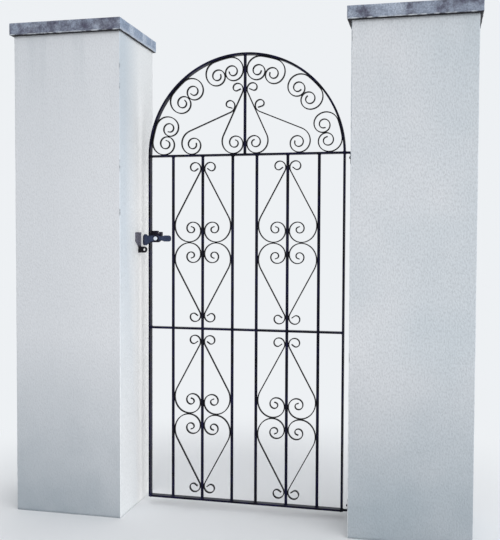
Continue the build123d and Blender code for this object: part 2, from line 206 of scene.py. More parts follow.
def paintedRoughcast():
    # masonry paint on a sprayed sand and cement render: matt, cool white that drifts a little bluer
    # on the hinge pier, an even field of small upright dimples with painted shade in their hollows,
    # greyer at the foot with spattered mud and painted shade, and greyer under the coping; the reveals
    # carry painted light, and painted shade at their tops; heights and places in the values are in metres
    v = renderValues
    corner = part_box("latch_pier")
    reveal = -corner[1].x
    front = corner[0].y
    material, add = newMaterial("paintedRoughcast")
    place = add("TexCoord").outputs["Object"]
    drift = add("TexNoise", {"Vector": place, "Scale": 1000 / v["driftMillimetres"], "Detail": 2.0})
    axes = add("SeparateXYZ", {"Vector": place})
    height = axes.outputs["Z"]
    beside = add("Math", {0: axes.outputs["X"]}, operation="ABSOLUTE")
    driftOut = add("Math", {
        0: axes.outputs["X"], 1: v["bluerPerMetre"], 2: drift}, operation="MULTIPLY_ADD")
    driftShare = add("MapRange", {"Value": driftOut, "From Min": 0.58, "From Max": 0.96})
    weathered = add("Mix", {0: driftShare, 6: v["paint"], 7: v["cooler"]}, data_type="RGBA")
    # the reveals of the opening are painted whiter than the fronts, as painted light from the right,
    # with a painted bluish tint of the sky at the arris, and whiter still towards the back and lower
    # down, as painted light against the shade that the gate and the hinge pier cast
    skin = reveal + v["revealSkin"]
    onReveal = add("MapRange", {"Value": beside, "From Min": skin + v["revealFade"], "From Max": skin})
    deeper = add("MapRange", {
        "Value": axes.outputs["Y"], "From Min": v["bluishFront"], "From Max": v["whiteBack"]})
    lower = add("MapRange", {
        "Value": height, "From Min": v["bluishHigh"], "From Max": v["whiteLow"],
        "To Max": v["whiteMost"]})
    whiter = add("Math", {0: deeper, 1: lower}, operation="MAXIMUM")
    revealLight = add("Mix", {0: whiter, 6: v["arris"], 7: v["litRevealPaint"]}, data_type="RGBA")
    unchipped = add("Mix", {0: onReveal, 6: weathered, 7: revealLight}, data_type="RGBA")
    # hairline knocks along the front arrises of the opening show dark mortar
    sideKnock = reveal + v["knockWide"]
    frontKnock = front + v["knockWide"]
    nearSide = add("MapRange", {
        "Value": beside, "From Min": sideKnock + v["knockFade"], "From Max": sideKnock})
    nearFront = add("MapRange", {
        "Value": axes.outputs["Y"], "From Min": frontKnock + v["knockFade"], "From Max": frontKnock})
    long = add("Mapping", {"Vector": place, "Scale": perMetre(v["knockMillimetres"])})
    knocks = add("TexNoise", {"Vector": long, "Scale": 1.0, "Detail": 5.0, "Roughness": 0.7})
    knocked = add("MapRange", {
        "Value": knocks, "From Min": 0.58, "From Max": 0.66, "To Max": v["knockMost"]})
    onArris = add("Math", {0: nearSide, 1: nearFront}, operation="MULTIPLY")
    chip = add("Math", {0: onArris, 1: knocked}, operation="MULTIPLY")
    colour = add("Mix", {0: chip, 6: unchipped, 7: v["chipped"]}, data_type="RGBA")
    # the float was drawn upwards, so grit and dimples are taller than wide; both are drawn about
    # twice as coarse as real ones, which would be lost in the render
    upright = add("Mapping", {"Vector": place, "Scale": (1.0, 1.0, v["zScale"])})
    grit = add("TexNoise", {
        "Vector": upright, "Scale": 1000 / v["gritMillimetres"], "Detail": 3.0, "Roughness": 0.6})
    dimple = add("TexNoise", {"Vector": upright, "Scale": 1000 / v["dimpleMillimetres"], "Detail": 1.0})
    # the dimples' hollows are painted darker, as painted shade; the latch pier's less so, as it has had
    # one more coat, which fills its dimples
    filled = add("MapRange", {
        "Value": axes.outputs["X"], "From Min": -reveal, "From Max": reveal,
        "To Min": v["latchDimpleTone"], "To Max": v["hingeDimpleTone"]})
    dimpleShade = add("MapRange", {
        "Value": dimple, "From Min": 0.3, "From Max": 0.6, "To Min": filled,
        "To Max": v["ridgeTone"]})
    toned = add("HueSaturation", {"Color": colour, "Value": dimpleShade})
    # darker towards the foot, unevenly: spattered mud and painted shade
    footRamp = add("MapRange", {
        "Value": height, "From Min": v["footDarkHeight"], "From Max": 0.0, "To Max": v["footDarkMost"]})
    blotch = add("TexNoise", {"Vector": place, "Scale": 1000 / v["blotchMillimetres"], "Detail": 4.0})
    patchy = add("MapRange", {
        "Value": blotch, "From Min": 0.25, "From Max": 0.75, "To Min": v["lighterFootPatch"],
        "To Max": v["darkerFootPatch"]})
    footDirtAndShade = add("Math", {0: footRamp, 1: patchy}, operation="MULTIPLY")
    # rain runs down from under the coping in long faint streaks
    tall = add("Mapping", {"Vector": place, "Scale": perMetre(v["streakMillimetres"])})
    streak = add("TexNoise", {"Vector": tall, "Scale": 1.0, "Detail": 3.0})
    under = add("MapRange", {
        "Value": height, "From Min": v["streakLow"], "From Max": v["streakHigh"],
        "To Max": v["streakMost"]})
    run = add("MapRange", {"Value": streak, "From Min": 0.5, "From Max": 0.75})
    runShare = add("Math", {0: run, 1: under}, operation="MULTIPLY")
    streakAndFoot = add("Math", {0: runShare, 1: footDirtAndShade}, operation="MAXIMUM")
    exposed = add("MapRange", {"Value": onReveal, "To Min": 1.0, "To Max": v["footDarkOnReveal"]})
    streakAndFootScaled = add("Math", {0: streakAndFoot, 1: exposed}, operation="MULTIPLY")
    # greyer towards the top, a little on the fronts, and most of all on the reveals, where it is
    # painted shade that darkens their upper part
    topGrey = add("MapRange", {
        "Value": height, "From Min": v["topGreyLow"], "From Max": v["topGreyHigh"]},
        interpolation_type="SMOOTHSTEP")
    topGreyMost = add("MapRange", {
        "Value": onReveal, "To Min": v["topGreyMost"], "To Max": v["revealTopShade"]})
    greyShare = add("Math", {0: topGrey, 1: topGreyMost, 2: streakAndFootScaled}, operation="MULTIPLY_ADD")
    # the latch pier gets greyer towards its outer side
    outer = add("MapRange", {
        "Value": axes.outputs["X"], "From Min": v["greyInner"], "From Max": v["greyOuter"],
        "To Max": v["greyMost"]})
    greyed = add("Math", {0: greyShare, 1: outer}, operation="ADD")
    # the dark colour is mixed in for streaks, spattered mud, and painted shade at the foot and the
    # reveals' tops
    final = add("Mix", {0: greyed, 6: toned, 7: v["damp"]}, data_type="RGBA")
    coarse = add("Bump", {
        "Height": dimple, "Strength": v["dimpleStrength"], "Distance": v["dimpleDeep"]})
    fine = add("Bump", {
        "Height": grit, "Strength": v["gritStrength"], "Distance": v["gritDeep"], "Normal": coarse})
    surface = add("BsdfPrincipled", {
        "Base Color": final, "Roughness": v["rough"], "Specular IOR Level": v["shine"],
        "Normal": fine})
    add("OutputMaterial", {"Surface": surface})
    return material


mortarValues = {
    "damp": "#3a3639",
    "dust": "#6d686a",
    "gritMillimetres": 3.846,
    "gritDeep": 0.001,
    "gritStrength": 0.5,
    "rough": 0.95,
}


def rakedMortar():
    # bedding mortar raked back under the coping: rough, grey with damp and dust
    v = mortarValues
    material, add = newMaterial("rakedMortar")
    place = add("TexCoord").outputs["Object"]
    grit = add("TexNoise", {"Vector": place, "Scale": 1000 / v["gritMillimetres"], "Detail": 3.0})
    colour = add("Mix", {0: grit, 6: v["damp"], 7: v["dust"]}, data_type="RGBA")
    bump = add("Bump", {"Height": grit, "Strength": v["gritStrength"], "Distance": v["gritDeep"]})
    surface = add("BsdfPrincipled", {"Base Color": colour, "Roughness": v["rough"], "Normal": bump})
    add("OutputMaterial", {"Surface": surface})
    return material


slateValues = {
    "dark": "#444355",
    "mid": "#828b9b",
    "pale": "#a0a9b7",
    # the next colour is painted light on the end faces
    "litEndTone": "#899ab0",
    # the next colour is painted shade under the slab
    "undersideShade": "#1d1a20",
    "lime": "#d3d8dd",
    "chalk": "#bdc6d1",
    "patchMillimetres": 105.0,
    "hazeMillimetres": 58.33,
    "zScale": 1.15,
    "speckMillimetres": 5.5,
    "speckDeep": 0.0006,
    "bedMillimetres": (111.1, 111.1, 9.0),
    "bedDeep": 0.0012,
    "trailMillimetres": (55.56, 55.56, 200.0),
    "chalkRise": 4.0,
    "chalkFadeRise": 15.0,
    "weptMillimetres": 29.41,
    "limeRise": 2.8,
    "limeFadeRise": 3.9,
    "limedRim": 0.003,
    "rimFade": 0.002,
    "palerPerMetre": 0.06,
    "paleMost": 0.7,
    "litEndMost": 0.7,
    "chalkMost": 0.8,
    "trailMost": 0.65,
    "limeMost": 0.7,
    "darkSpeck": 0.72,
    "paleSpeck": 1.28,
    "bedStrength": 0.4,
    "speckStrength": 0.5,
    "roughDark": 0.5,
    "roughPale": 0.8,
    "shine": 0.4,
}


def rivenSlate():
    # split blue-grey slate: cloudy dark patches, a fine speckle, level clefts on the edges, and a
    # thin broken lime line where the bedding mortar has wept; rises are millimetres up the slab
    v = slateValues
    material, add = newMaterial("rivenSlate")
    place = add("TexCoord").outputs["Object"]
    squeezed = add("Mapping", {"Vector": place, "Scale": (1.0, 1.0, v["zScale"])})
    cloud = add("TexNoise", {
        "Vector": squeezed, "Scale": 1000 / v["patchMillimetres"], "Detail": 7.0, "Roughness": 0.68})
    # no two slates match: the latch pier's is the darker one, most of all at its outer end
    where = add("SeparateXYZ", {"Vector": place})
    paleRight = add("Math", {
        0: where.outputs["X"], 1: v["palerPerMetre"], 2: cloud}, operation="MULTIPLY_ADD")
    share = add("MapRange", {
        "Value": paleRight, "From Min": 0.37, "From Max": 0.6},
        interpolation_type="SMOOTHSTEP")
    base = add("Mix", {0: share, 6: v["dark"], 7: v["mid"]}, data_type="RGBA")
    haze = add("TexNoise", {"Vector": squeezed, "Scale": 1000 / v["hazeMillimetres"], "Detail": 4.0})
    paleShare = add("MapRange", {
        "Value": haze, "From Min": 0.5, "From Max": 0.72, "To Max": v["paleMost"]})
    paler = add("Mix", {0: paleShare, 6: base, 7: v["pale"]}, data_type="RGBA")
    # the end faces are painted paler than the fronts, as painted light from the side, and chalky low
    # down and in streaks; how far up the slab a point lies is kept in the mesh, because the piers differ
    # in height
    rise = add("Attribute", attribute_name="riseMillimetres").outputs["Fac"]
    facing = add("SeparateXYZ", {"Vector": add("NewGeometry").outputs["True Normal"]})
    sideways = add("Math", {0: facing.outputs["X"]}, operation="ABSOLUTE")
    sideShare = add("MapRange", {
        "Value": sideways, "From Min": 0.5, "From Max": 0.9, "To Max": v["litEndMost"]})
    litEndTone = add("Mix", {0: sideShare, 6: paler, 7: v["litEndTone"]}, data_type="RGBA")
    chalkLow = add("MapRange", {
        "Value": rise, "From Min": v["chalkFadeRise"], "From Max": v["chalkRise"],
        "To Max": v["chalkMost"]})
    down = add("Mapping", {"Vector": place, "Scale": perMetre(v["trailMillimetres"])})
    trails = add("TexNoise", {"Vector": down, "Scale": 1.0, "Detail": 3.0})
    trailShare = add("MapRange", {
        "Value": trails, "From Min": 0.48, "From Max": 0.64, "To Max": v["trailMost"]})
    chalk = add("Math", {0: chalkLow, 1: trailShare}, operation="MAXIMUM")
    chalkShare = add("Math", {0: chalk, 1: sideShare}, operation="MULTIPLY")
    chalked = add("Mix", {0: chalkShare, 6: litEndTone, 7: v["chalk"]}, data_type="RGBA")
    speck = add("TexNoise", {"Vector": place, "Scale": 1000 / v["speckMillimetres"], "Detail": 2.0})
    speckTone = add("MapRange", {
        "Value": speck, "From Min": 0.3, "From Max": 0.7, "To Min": v["darkSpeck"],
        "To Max": v["paleSpeck"]})
    speckled = add("HueSaturation", {"Color": chalked, "Value": speckTone})
    # the bed planes lie level, so clefts are thin across and long along the slab
    flat = add("Mapping", {"Vector": place, "Scale": perMetre(v["bedMillimetres"])})
    beds = add("TexNoise", {"Vector": flat, "Scale": 1.0, "Detail": 3.0})
    low = add("MapRange", {"Value": rise, "From Min": v["limeFadeRise"], "From Max": v["limeRise"]})
    wept = add("TexNoise", {"Vector": place, "Scale": 1000 / v["weptMillimetres"], "Detail": 6.0})
    weptShare = add("MapRange", {
        "Value": wept, "From Min": 0.43, "From Max": 0.58, "To Max": v["limeMost"]})
    limeShare = add("Math", {0: low, 1: weptShare}, operation="MULTIPLY")
    limed = add("Mix", {0: limeShare, 6: speckled, 7: v["lime"]}, data_type="RGBA")
    # the slab's bottom face is painted nearly black, as painted shade, but for lime along its front and
    # back edges
    under = add("MapRange", {"Value": facing.outputs["Z"], "From Min": -0.4, "From Max": -0.8})
    outward = add("Math", {0: where.outputs["Y"]}, operation="ABSOLUTE")
    rimStart = cadBox[1][1] - v["limedRim"]
    rim = add("MapRange", {"Value": outward, "From Min": rimStart - v["rimFade"], "From Max": rimStart})
    rimShare = add("Math", {0: rim, 1: weptShare}, operation="MULTIPLY")
    below = add("Mix", {0: rimShare, 6: v["undersideShade"], 7: v["lime"]}, data_type="RGBA")
    final = add("Mix", {0: under, 6: limed, 7: below}, data_type="RGBA")
    rough = add("MapRange", {"Value": cloud, "To Min": v["roughDark"], "To Max": v["roughPale"]})
    broad = add("Bump", {"Height": beds, "Strength": v["bedStrength"], "Distance": v["bedDeep"]})
    fine = add("Bump", {
        "Height": speck, "Strength": v["speckStrength"], "Distance": v["speckDeep"], "Normal": broad})
    surface = add("BsdfPrincipled", {
        "Base Color": final, "Roughness": rough, "Specular IOR Level": v["shine"], "Normal": fine})
    add("OutputMaterial", {"Surface": surface})
    return material


def fromPivot(add, place):
    # distance from the pivot bolt's axis
    low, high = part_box("pivot_bolt")
    centred = add("VectorMath", {
        0: place, 1: ((low.x + high.x) / 2, 0.0, (low.z + high.z) / 2)}, operation="SUBTRACT")
    level = add("VectorMath", {0: centred, 1: (1.0, 0.0, 1.0)}, operation="MULTIPLY")
    away = add("VectorMath", {0: level}, operation="LENGTH")
    return away


enamelValues = {
    # each piece's second colour is a paler tone: painted sheen on the black pieces, the paint's own paler
    # tone on the lever
    "bar": {"deep": "#030311", "toneAndSheen": "#0e0d30", "dust": "#242633", "gloss": 0.3},
    "strip": {"deep": "#050406", "toneAndSheen": "#0f0c12", "dust": "#242328", "gloss": 0.34},
    "lever": {"deep": "#2a3146", "toneAndSheen": "#424b64", "dust": "#545e70", "gloss": 0.42},
    "bracket": {"deep": "#100d17", "toneAndSheen": "#1f1b2e", "dust": "#302e3c", "gloss": 0.42},
    "duller": 0.2,
    "toneMillimetres": 38.46,
    "dustAndSheenMillimetres": 11.11,
    "peelMillimetres": 3.2,
    "leverPeelMillimetres": 4.0,
    "peelDeep": 0.0003,
    "peelStrength": 0.12,
    "dustAndSheenMost": 0.9,
    "noseBlotchMillimetres": 7.692,
    "pivotBlackRadius": 0.0128,
    "pivotBlackFade": 0.0015,
    "noseBlack": 0.004,
    "noseFade": 0.013,
    "noseMost": 1.3,
    "refraction": 1.5,
    "shine": 0.12,
}


def brushedEnamel(name, piece):
    # old black enamel brushed over primed steel: deep, with a paler bluish second tone in patches that
    # on the black pieces is painted sheen, dulled by the weather so that its gloss is faint, lighter where
    # it faces up with dust and a painted highlight, and on the lever black about the pivot and over the
    # nose
    v = enamelValues
    coats = v[piece]
    material, add = newMaterial(name)
    place = add("TexCoord").outputs["Object"]
    # patches of the paler second tone: painted sheen on the black pieces
    tone = add("TexNoise", {"Vector": place, "Scale": 1000 / v["toneMillimetres"], "Detail": 3.0})
    toneShare = add("MapRange", {"Value": tone, "From Min": 0.38, "From Max": 0.66})
    coat = add("Mix", {0: toneShare, 6: coats["deep"], 7: coats["toneAndSheen"]}, data_type="RGBA")
    # upward faces are painted lighter: dust, and a painted highlight where light falls from above
    facing = add("SeparateXYZ", {"Vector": add("NewGeometry").outputs["Normal"]}).outputs["Z"]
    upward = add("MapRange", {
        "Value": facing, "From Min": 0.6, "From Max": 1.0, "To Max": v["dustAndSheenMost"]})
    settle = add("TexNoise", {"Vector": place, "Scale": 1000 / v["dustAndSheenMillimetres"], "Detail": 4.0})
    dustAndSheenShare = add("Math", {0: upward, 1: settle}, operation="MULTIPLY")
    final = add("Mix", {0: dustAndSheenShare, 6: coat, 7: coats["dust"]}, data_type="RGBA")
    peelMillimetres = v["peelMillimetres"]
    if piece == "lever":
        peelMillimetres = v["leverPeelMillimetres"]
        # black in a ring about the pivot, and in patches towards the nose
        pivotBlack = add("MapRange", {
            "Value": fromPivot(add, place), "From Min": v["pivotBlackRadius"],
            "From Max": v["pivotBlackRadius"] - v["pivotBlackFade"]})
        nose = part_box("latch_lever")[0].x
        tip = add("MapRange", {
            "Value": add("SeparateXYZ", {"Vector": place}).outputs["X"],
            "From Min": nose + v["noseFade"], "From Max": nose + v["noseBlack"],
            "To Max": v["noseMost"]})
        blotch = add("TexNoise", {
            "Vector": place, "Scale": 1000 / v["noseBlotchMillimetres"], "Detail": 3.0})
        noseDark = add("Math", {0: tip, 1: blotch}, operation="MULTIPLY")
        black = add("Math", {0: pivotBlack, 1: noseDark}, operation="MAXIMUM")
        final = add("Mix", {0: black, 6: final, 7: boltValues["rim"]}, data_type="RGBA")
    peel = add("TexNoise", {"Vector": place, "Scale": 1000 / peelMillimetres, "Detail": 1.0})
    rough = add("MapRange", {
        "Value": settle, "To Min": coats["gloss"], "To Max": coats["gloss"] + v["duller"]})
    bump = add("Bump", {"Height": peel, "Strength": v["peelStrength"], "Distance": v["peelDeep"]})
    surface = add("BsdfPrincipled", {
        "Base Color": final, "Roughness": rough, "IOR": v["refraction"], "Specular IOR Level": v["shine"],
        "Normal": bump})
    add("OutputMaterial", {"Surface": surface})
    return material


keeperValues = {
    "flange": "#5b5a66",
    "rubbed": "#807f8b",
    "dark": "#100e15",
    "fleckMillimetres": 7.0,
    "fleckDeep": 0.0004,
    "fleckStrength": 0.4,
    "footHigh": 0.024,
    "fadeHigh": 0.012,
    "roughFlange": 0.5,
    "roughRubbed": 0.8,
    "shine": 0.2,
}


def weatheredKeeper():
    # pressed steel keeper: its two flanges have weathered to mottled grey zinc and primer, while
    # the foot, which the lever's nose shelters, keeps its black paint
    v = keeperValues
    material, add = newMaterial("weatheredBlackPaintOnZinc")
    place = add("TexCoord").outputs["Object"]
    fleck = add("TexNoise", {
        "Vector": place, "Scale": 1000 / v["fleckMillimetres"], "Detail": 4.0, "Roughness": 0.65})
    fleckShare = add("MapRange", {"Value": fleck, "From Min": 0.4, "From Max": 0.65})
    grey = add("Mix", {0: fleckShare, 6: v["flange"], 7: v["rubbed"]}, data_type="RGBA")
    height = add("SeparateXYZ", {"Vector": place}).outputs["Z"]
    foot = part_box("latch_keeper")[0].z + v["footHigh"]
    worn = add("MapRange", {"Value": height, "From Min": foot, "From Max": foot + v["fadeHigh"]})
    final = add("Mix", {0: worn, 6: v["dark"], 7: grey}, data_type="RGBA")
    rough = add("MapRange", {"Value": fleck, "To Min": v["roughFlange"], "To Max": v["roughRubbed"]})
    bump = add("Bump", {"Height": fleck, "Strength": v["fleckStrength"], "Distance": v["fleckDeep"]})
    surface = add("BsdfPrincipled", {
        "Base Color": final, "Roughness": rough, "Specular IOR Level": v["shine"], "Normal": bump})
    add("OutputMaterial", {"Surface": surface})
    return material


zincValues = {
    "bright": "#e2e8f0",
    "dull": "#c3cbd6",
    "stainMillimetres": 3.125,
    "stainDeep": 0.0002,
    "stainStrength": 0.15,
    "roughBright": 0.28,
    "roughDull": 0.5,
}


def brightZinc():
    # electroplated zinc on small fixings: bright, faintly blue, dulled in spots
    v = zincValues
    material, add = newMaterial("brightZincPlate")
    place = add("TexCoord").outputs["Object"]
    stain = add("TexNoise", {"Vector": place, "Scale": 1000 / v["stainMillimetres"], "Detail": 3.0})
    colour = add("Mix", {0: stain, 6: v["bright"], 7: v["dull"]}, data_type="RGBA")
    rough = add("MapRange", {"Value": stain, "To Min": v["roughBright"], "To Max": v["roughDull"]})
    bump = add("Bump", {"Height": stain, "Strength": v["stainStrength"], "Distance": v["stainDeep"]})
    surface = add("BsdfPrincipled", {
        "Base Color": colour, "Metallic": 1.0, "Roughness": rough, "Normal": bump})
    add("OutputMaterial", {"Surface": surface})
    return material


boltValues = {
    "face": "#eef3fa",
    "rim": "#14121a",
    "faceRadius": 0.0077,
    "rimFade": 0.0005,
    "uneven": 0.0006,
    "scuffMillimetres": 2.0,
    "scuffDeep": 0.0002,
    "scuffStrength": 0.15,
    "roughLeast": 0.3,
    "roughMost": 0.55,
}


def turnedBolt():
    # the pivot bolt's zinc-plated head, bright in the middle and black around its rim
    v = boltValues
    material, add = newMaterial("turnedZincBolt")
    place = add("TexCoord").outputs["Object"]
    scuff = add("TexNoise", {"Vector": place, "Scale": 1000 / v["scuffMillimetres"], "Detail": 3.0})
    uneven = add("MapRange", {"Value": scuff, "To Min": -v["uneven"], "To Max": v["uneven"]})
    edge = add("Math", {0: fromPivot(add, place), 1: uneven}, operation="ADD")
    rim = add("MapRange", {
        "Value": edge, "From Min": v["faceRadius"], "From Max": v["faceRadius"] + v["rimFade"]})
    colour = add("Mix", {0: rim, 6: v["face"], 7: v["rim"]}, data_type="RGBA")
    bare = add("Math", {0: 1.0, 1: rim}, operation="SUBTRACT")
    rough = add("MapRange", {"Value": scuff, "To Min": v["roughLeast"], "To Max": v["roughMost"]})
    bump = add("Bump", {"Height": scuff, "Strength": v["scuffStrength"], "Distance": v["scuffDeep"]})
    surface = add("BsdfPrincipled", {
        "Base Color": colour, "Metallic": bare, "Roughness": rough, "Normal": bump})
    add("OutputMaterial", {"Surface": surface})
    return material


roughcast = paintedRoughcast()
mortar = rakedMortar()
slate = rivenSlate()
barEnamel = brushedEnamel("blackEnamelOnBar", "bar")
stripEnamel = brushedEnamel("blackEnamelOnStrip", "strip")
leverEnamel = brushedEnamel("blueBlackEnamelOnCastIron", "lever")
bracketEnamel = brushedEnamel("blackEnamelOnBracket", "bracket")
keeperPaint = weatheredKeeper()
zinc = brightZinc()
boltZinc = turnedBolt()

for nodeName in nodes:
    if "scroll" in nodeName or nodeName.startswith("c_"):
        dress(nodeName, stripEnamel)
    elif nodeName == "latch_keeper":
        dress(nodeName, keeperPaint)
    elif nodeName == "latch_lever":
        dress(nodeName, leverEnamel)
    elif nodeName == "latch_bracket" or nodeName.startswith("hinge_plate"):
        dress(nodeName, bracketEnamel)
    elif nodeName == "pivot_bolt":
        dress(nodeName, boltZinc)
    elif nodeName.endswith("_pier"):
        dress(nodeName, roughcast)
    elif nodeName.endswith("_coping"):
        dress(nodeName, slate)
    else:
        dress(nodeName, barEnamel)
print("finishes made")


# masonry: a ring of points around a rounded rectangle, stacked in rows from the foot to the top

pierValues = {
    "arris": 0.003,
    "grain": 0.0105,
    "cornerSteps": 4,
    "swell": 0.0007,
    "swellLong": 0.22,
    "dimple": 0.0006,
    "dimpleLong": 0.026,
    "dimpleWaves": 60,
    "seeds": (3, 5),
    "joint": 0.001,
    "rake": 0.004,
    "rakeSlope": 0.0003,
}
copingValues = {
    "arris": 0.002,
    "grain": 0.011,
    "cornerSteps": 3,
    "cleft": 0.0009,
    "cleftLong": 0.05,
    "bedThin": 4.0,
    "chip": 0.0022,
    "chipLong": 0.035,
    "chipAbove": 1.1,
    "chipReach": 0.43,
    "sagLong": 0.07,
    "seeds": (11, 17, 19),
    "footInset": 0.0014,
    "topInset": 0.0018,
    "edgeRows": (0.0, 0.03, 0.17, 0.35, 0.52, 0.69, 0.85, 0.965, 1.0),
    "topRows": (0.96, 0.9, 0.82, 0.73, 0.63, 0.52, 0.41, 0.3, 0.19, 0.09, 0.03),
}
nearCorner = 0.12  # where the near point lies, as a share of one step of the side


def ringAround(low, high, arris, grain, cornerSteps):
    # rounded rectangle, anticlockwise from above: quarter circles of the arris, evenly filled sides,
    # and on either side of a quarter circle a near point that keeps the side flat in smooth shading
    points = []
    outward = []
    middle = np.array([(low[0] + high[0]) / 2, (low[1] + high[1]) / 2])
    corners = ((high[0], low[1], -90), (high[0], high[1], 0), (low[0], high[1], 90), (low[0], low[1], 180))
    for i, (x, y, start) in enumerate(corners):
        angle = np.radians(start + np.linspace(0, 90, cornerSteps))
        facing = np.stack([np.cos(angle), np.sin(angle)], 1)
        corner = np.array([x, y])
        points.append(corner - arris * np.sign(corner - middle) + arris * facing)
        outward.append(facing)
        side = (high[1] - low[1], high[0] - low[0])[i % 2] - 2 * arris
        count = round(side / grain)
        share = np.concatenate([[nearCorner], np.arange(1, count), [count - nearCorner]])[:, None] / count
        along = np.array([-facing[-1][1], facing[-1][0]])
        points.append(points[-1][-1] + share * side * along)
        outward.append(np.repeat(facing[-1:], count + 1, 0))
    return np.concatenate(points), np.concatenate(outward)


def stackRings(ring, outward, heights, insets, shrinks=1.0):
    # point = ring point drawn towards the middle by the row's shrink, then moved inwards by the
    # row's inset, at the row's height
    middle = (ring.min(0) + ring.max(0)) / 2
    drawn = (np.zeros(len(heights)) + shrinks)[:, None, None]
    flat = middle + (ring - middle)[None, :, :] * drawn - outward[None, :, :] * insets[:, None, None]
    tall = np.broadcast_to(heights[:, None, None], (len(heights), len(ring), 1))
    points = np.concatenate([flat, tall], 2).reshape(-1, 3)
    facing = np.tile(np.concatenate([outward, np.zeros((len(outward), 1))], 1), (len(heights), 1))
    return points, facing


def closedStack(rows, columns):
    # the grid's quads, and one cap on its first row and one on its last
    faces = gridFaces(rows, columns)
    faces.append(list(range(columns))[::-1])
    faces.append(list(range((rows - 1) * columns, rows * columns)))
    return faces


def roughcastPier(side):
    # inward depth = swell * share of a long wave + dimple * share of a short one, never outwards
    v = pierValues
    nodeName = side + "_pier"
    low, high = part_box(nodeName)
    ring, outward = ringAround(low, high, v["arris"], v["grain"], v["cornerSteps"])
    top = high.z - v["joint"]
    body = np.linspace(low.z, top, round((top - low.z) / v["grain"]))
    heights = np.concatenate([body, [top + v["rakeSlope"], high.z]])
    insets = np.concatenate([np.zeros(len(body)), [v["rake"], v["rake"]]])
    points, facing = stackRings(ring, outward, heights, insets)
    depth = v["swell"] * waveShare(points, v["swellLong"], v["seeds"][0])
    depth += v["dimple"] * waveShare(points, v["dimpleLong"], v["seeds"][1], v["dimpleWaves"])
    points -= facing * depth[:, None]
    name = side + "PierRender"
    piece = buildPiece(name, points, closedStack(len(heights), len(ring)), roughcast, "posts")
    # the faces of the joint are the last full ring of the grid and the cap
    piece.data.materials.append(mortar)
    last = (len(heights) - 2) * len(ring)
    slots = np.zeros(len(piece.data.polygons), dtype=np.int32)
    slots[last:last + len(ring)] = 1
    slots[-1] = 1
    piece.data.polygons.foreach_set("material_index", slots)
    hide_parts(nodeName)


def slateCoping(side):
    # inward depth = cleft * share of a wave that is drawn out along the bed, and on both arrises
    # + chip * whatever another wave has over chipAbove; the top sags by cleft * share of a third
    v = copingValues
    nodeName = side + "_coping"
    low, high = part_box(nodeName)
    ring, outward = ringAround(low, high, v["arris"], v["grain"], v["cornerSteps"])
    # the rows run up the edge, then over the top in ever smaller rectangles
    edgeRows = np.array(v["edgeRows"])
    topRows = np.array(v["topRows"])
    heights = np.concatenate([low.z + edgeRows * (high.z - low.z), np.full(len(topRows), high.z)])
    shrinks = np.concatenate([np.ones(len(edgeRows)), topRows])
    insets = np.zeros(len(heights))
    insets[0] = v["footInset"]
    insets[len(edgeRows) - 1] = v["topInset"]
    points, facing = stackRings(ring, outward, heights, insets, shrinks)
    rise = (points[:, 2] - low.z) * 1000
    edge = (shrinks == 1.0).repeat(len(ring))
    bedded = points * np.array([1.0, 1.0, v["bedThin"]])
    depth = v["cleft"] * waveShare(bedded, v["cleftLong"], v["seeds"][0])
    nearArris = np.abs(points[:, 2] - (low.z + high.z) / 2) > v["chipReach"] * (high.z - low.z)
    chips = waves(points, v["chipLong"], v["seeds"][1])
    depth += v["chip"] * nearArris * (chips - v["chipAbove"]).clip(0, 1)
    points -= facing * (depth * edge)[:, None]
    sag = v["cleft"] * waveShare(points, v["sagLong"], v["seeds"][2])
    points[:, 2] -= np.where(edge, 0.0, sag)
    name = side + "CopingSlab"
    piece = buildPiece(name, points, closedStack(len(heights), len(ring)), slate, "posts")
    piece.data.attributes.new("riseMillimetres", "FLOAT", "POINT").data.foreach_set("value", rise)
    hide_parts(nodeName)


for side in ("latch", "hinge"):
    roughcastPier(side)
    slateCoping(side)
print("piers and copings dressed")


# ironwork details: weld beads, screws and the pivot's nut

beadValues = {
    "tackRows": 7,
    "tackColumns": 10,
    "tackSeed": 23,
    "seamRows": 6,
    "seamColumns": 8,
    "seamSeed": 29,
    "lump": 0.12,
    "lumpLong": 1.3,
    "apart": 9,
}


def beadSurfaces(centres, sizes, rows, columns, seed):
    # ellipsoids: centre + size * unit sphere * (1 + lump * wave), where each bead reads the wave at
    # another place, so that no two are alike and none looks turned
    lat = np.linspace(0, np.pi, rows)[1:-1, None]
    lon = np.linspace(0, 2 * np.pi, columns, endpoint=False)[None, :]
    unit = np.stack([np.sin(lat) * np.cos(lon), np.sin(lat) * np.sin(lon), -np.cos(lat) + 0 * lon], -1)
    unit = np.concatenate([unit.reshape(-1, 3), [[0.0, 0.0, -1.0], [0.0, 0.0, 1.0]]])
    count = len(unit)
    shift = np.random.default_rng(seed).uniform(0, beadValues["apart"], (len(centres), 1, 3))
    swell = waves((unit[None] + shift).reshape(-1, 3), beadValues["lumpLong"], seed)
    swell = swell.reshape(len(centres), count, 1)
    points = centres[:, None, :] + unit[None] * sizes[:, None, :] * (1 + beadValues["lump"] * swell)
    one = gridFaces(rows - 2, columns)
    last = (rows - 3) * columns
    one += [[count - 2, (i + 1) % columns, i] for i in range(columns)]
    one += [[count - 1, last + i, last + (i + 1) % columns] for i in range(columns)]
    faces = [[corner + count * i for corner in face] for i in range(len(centres)) for face in one]
    return points.reshape(-1, 3), faces


tackValues = {"along": 0.0052, "deep": 0.0046, "out": 0.0026, "bulge": 0.00012}


def reach(nodeName, axis, sign, low=-math.inf, high=math.inf):
    # where a strip bulges furthest along one axis, among its points at heights between low and
    # high: the mean of the points that lie within bulge of the furthest one
    data = nodes[nodeName].data
    points = np.empty(len(data.vertices) * 3)
    data.vertices.foreach_get("co", points)
    points = points.reshape(-1, 3)
    points = points[(points[:, 2] >= low) & (points[:, 2] <= high)]
    far = (points[:, axis] * sign).max()
    near = points[points[:, axis] * sign > far - tackValues["bulge"]]
    return near.mean(0)


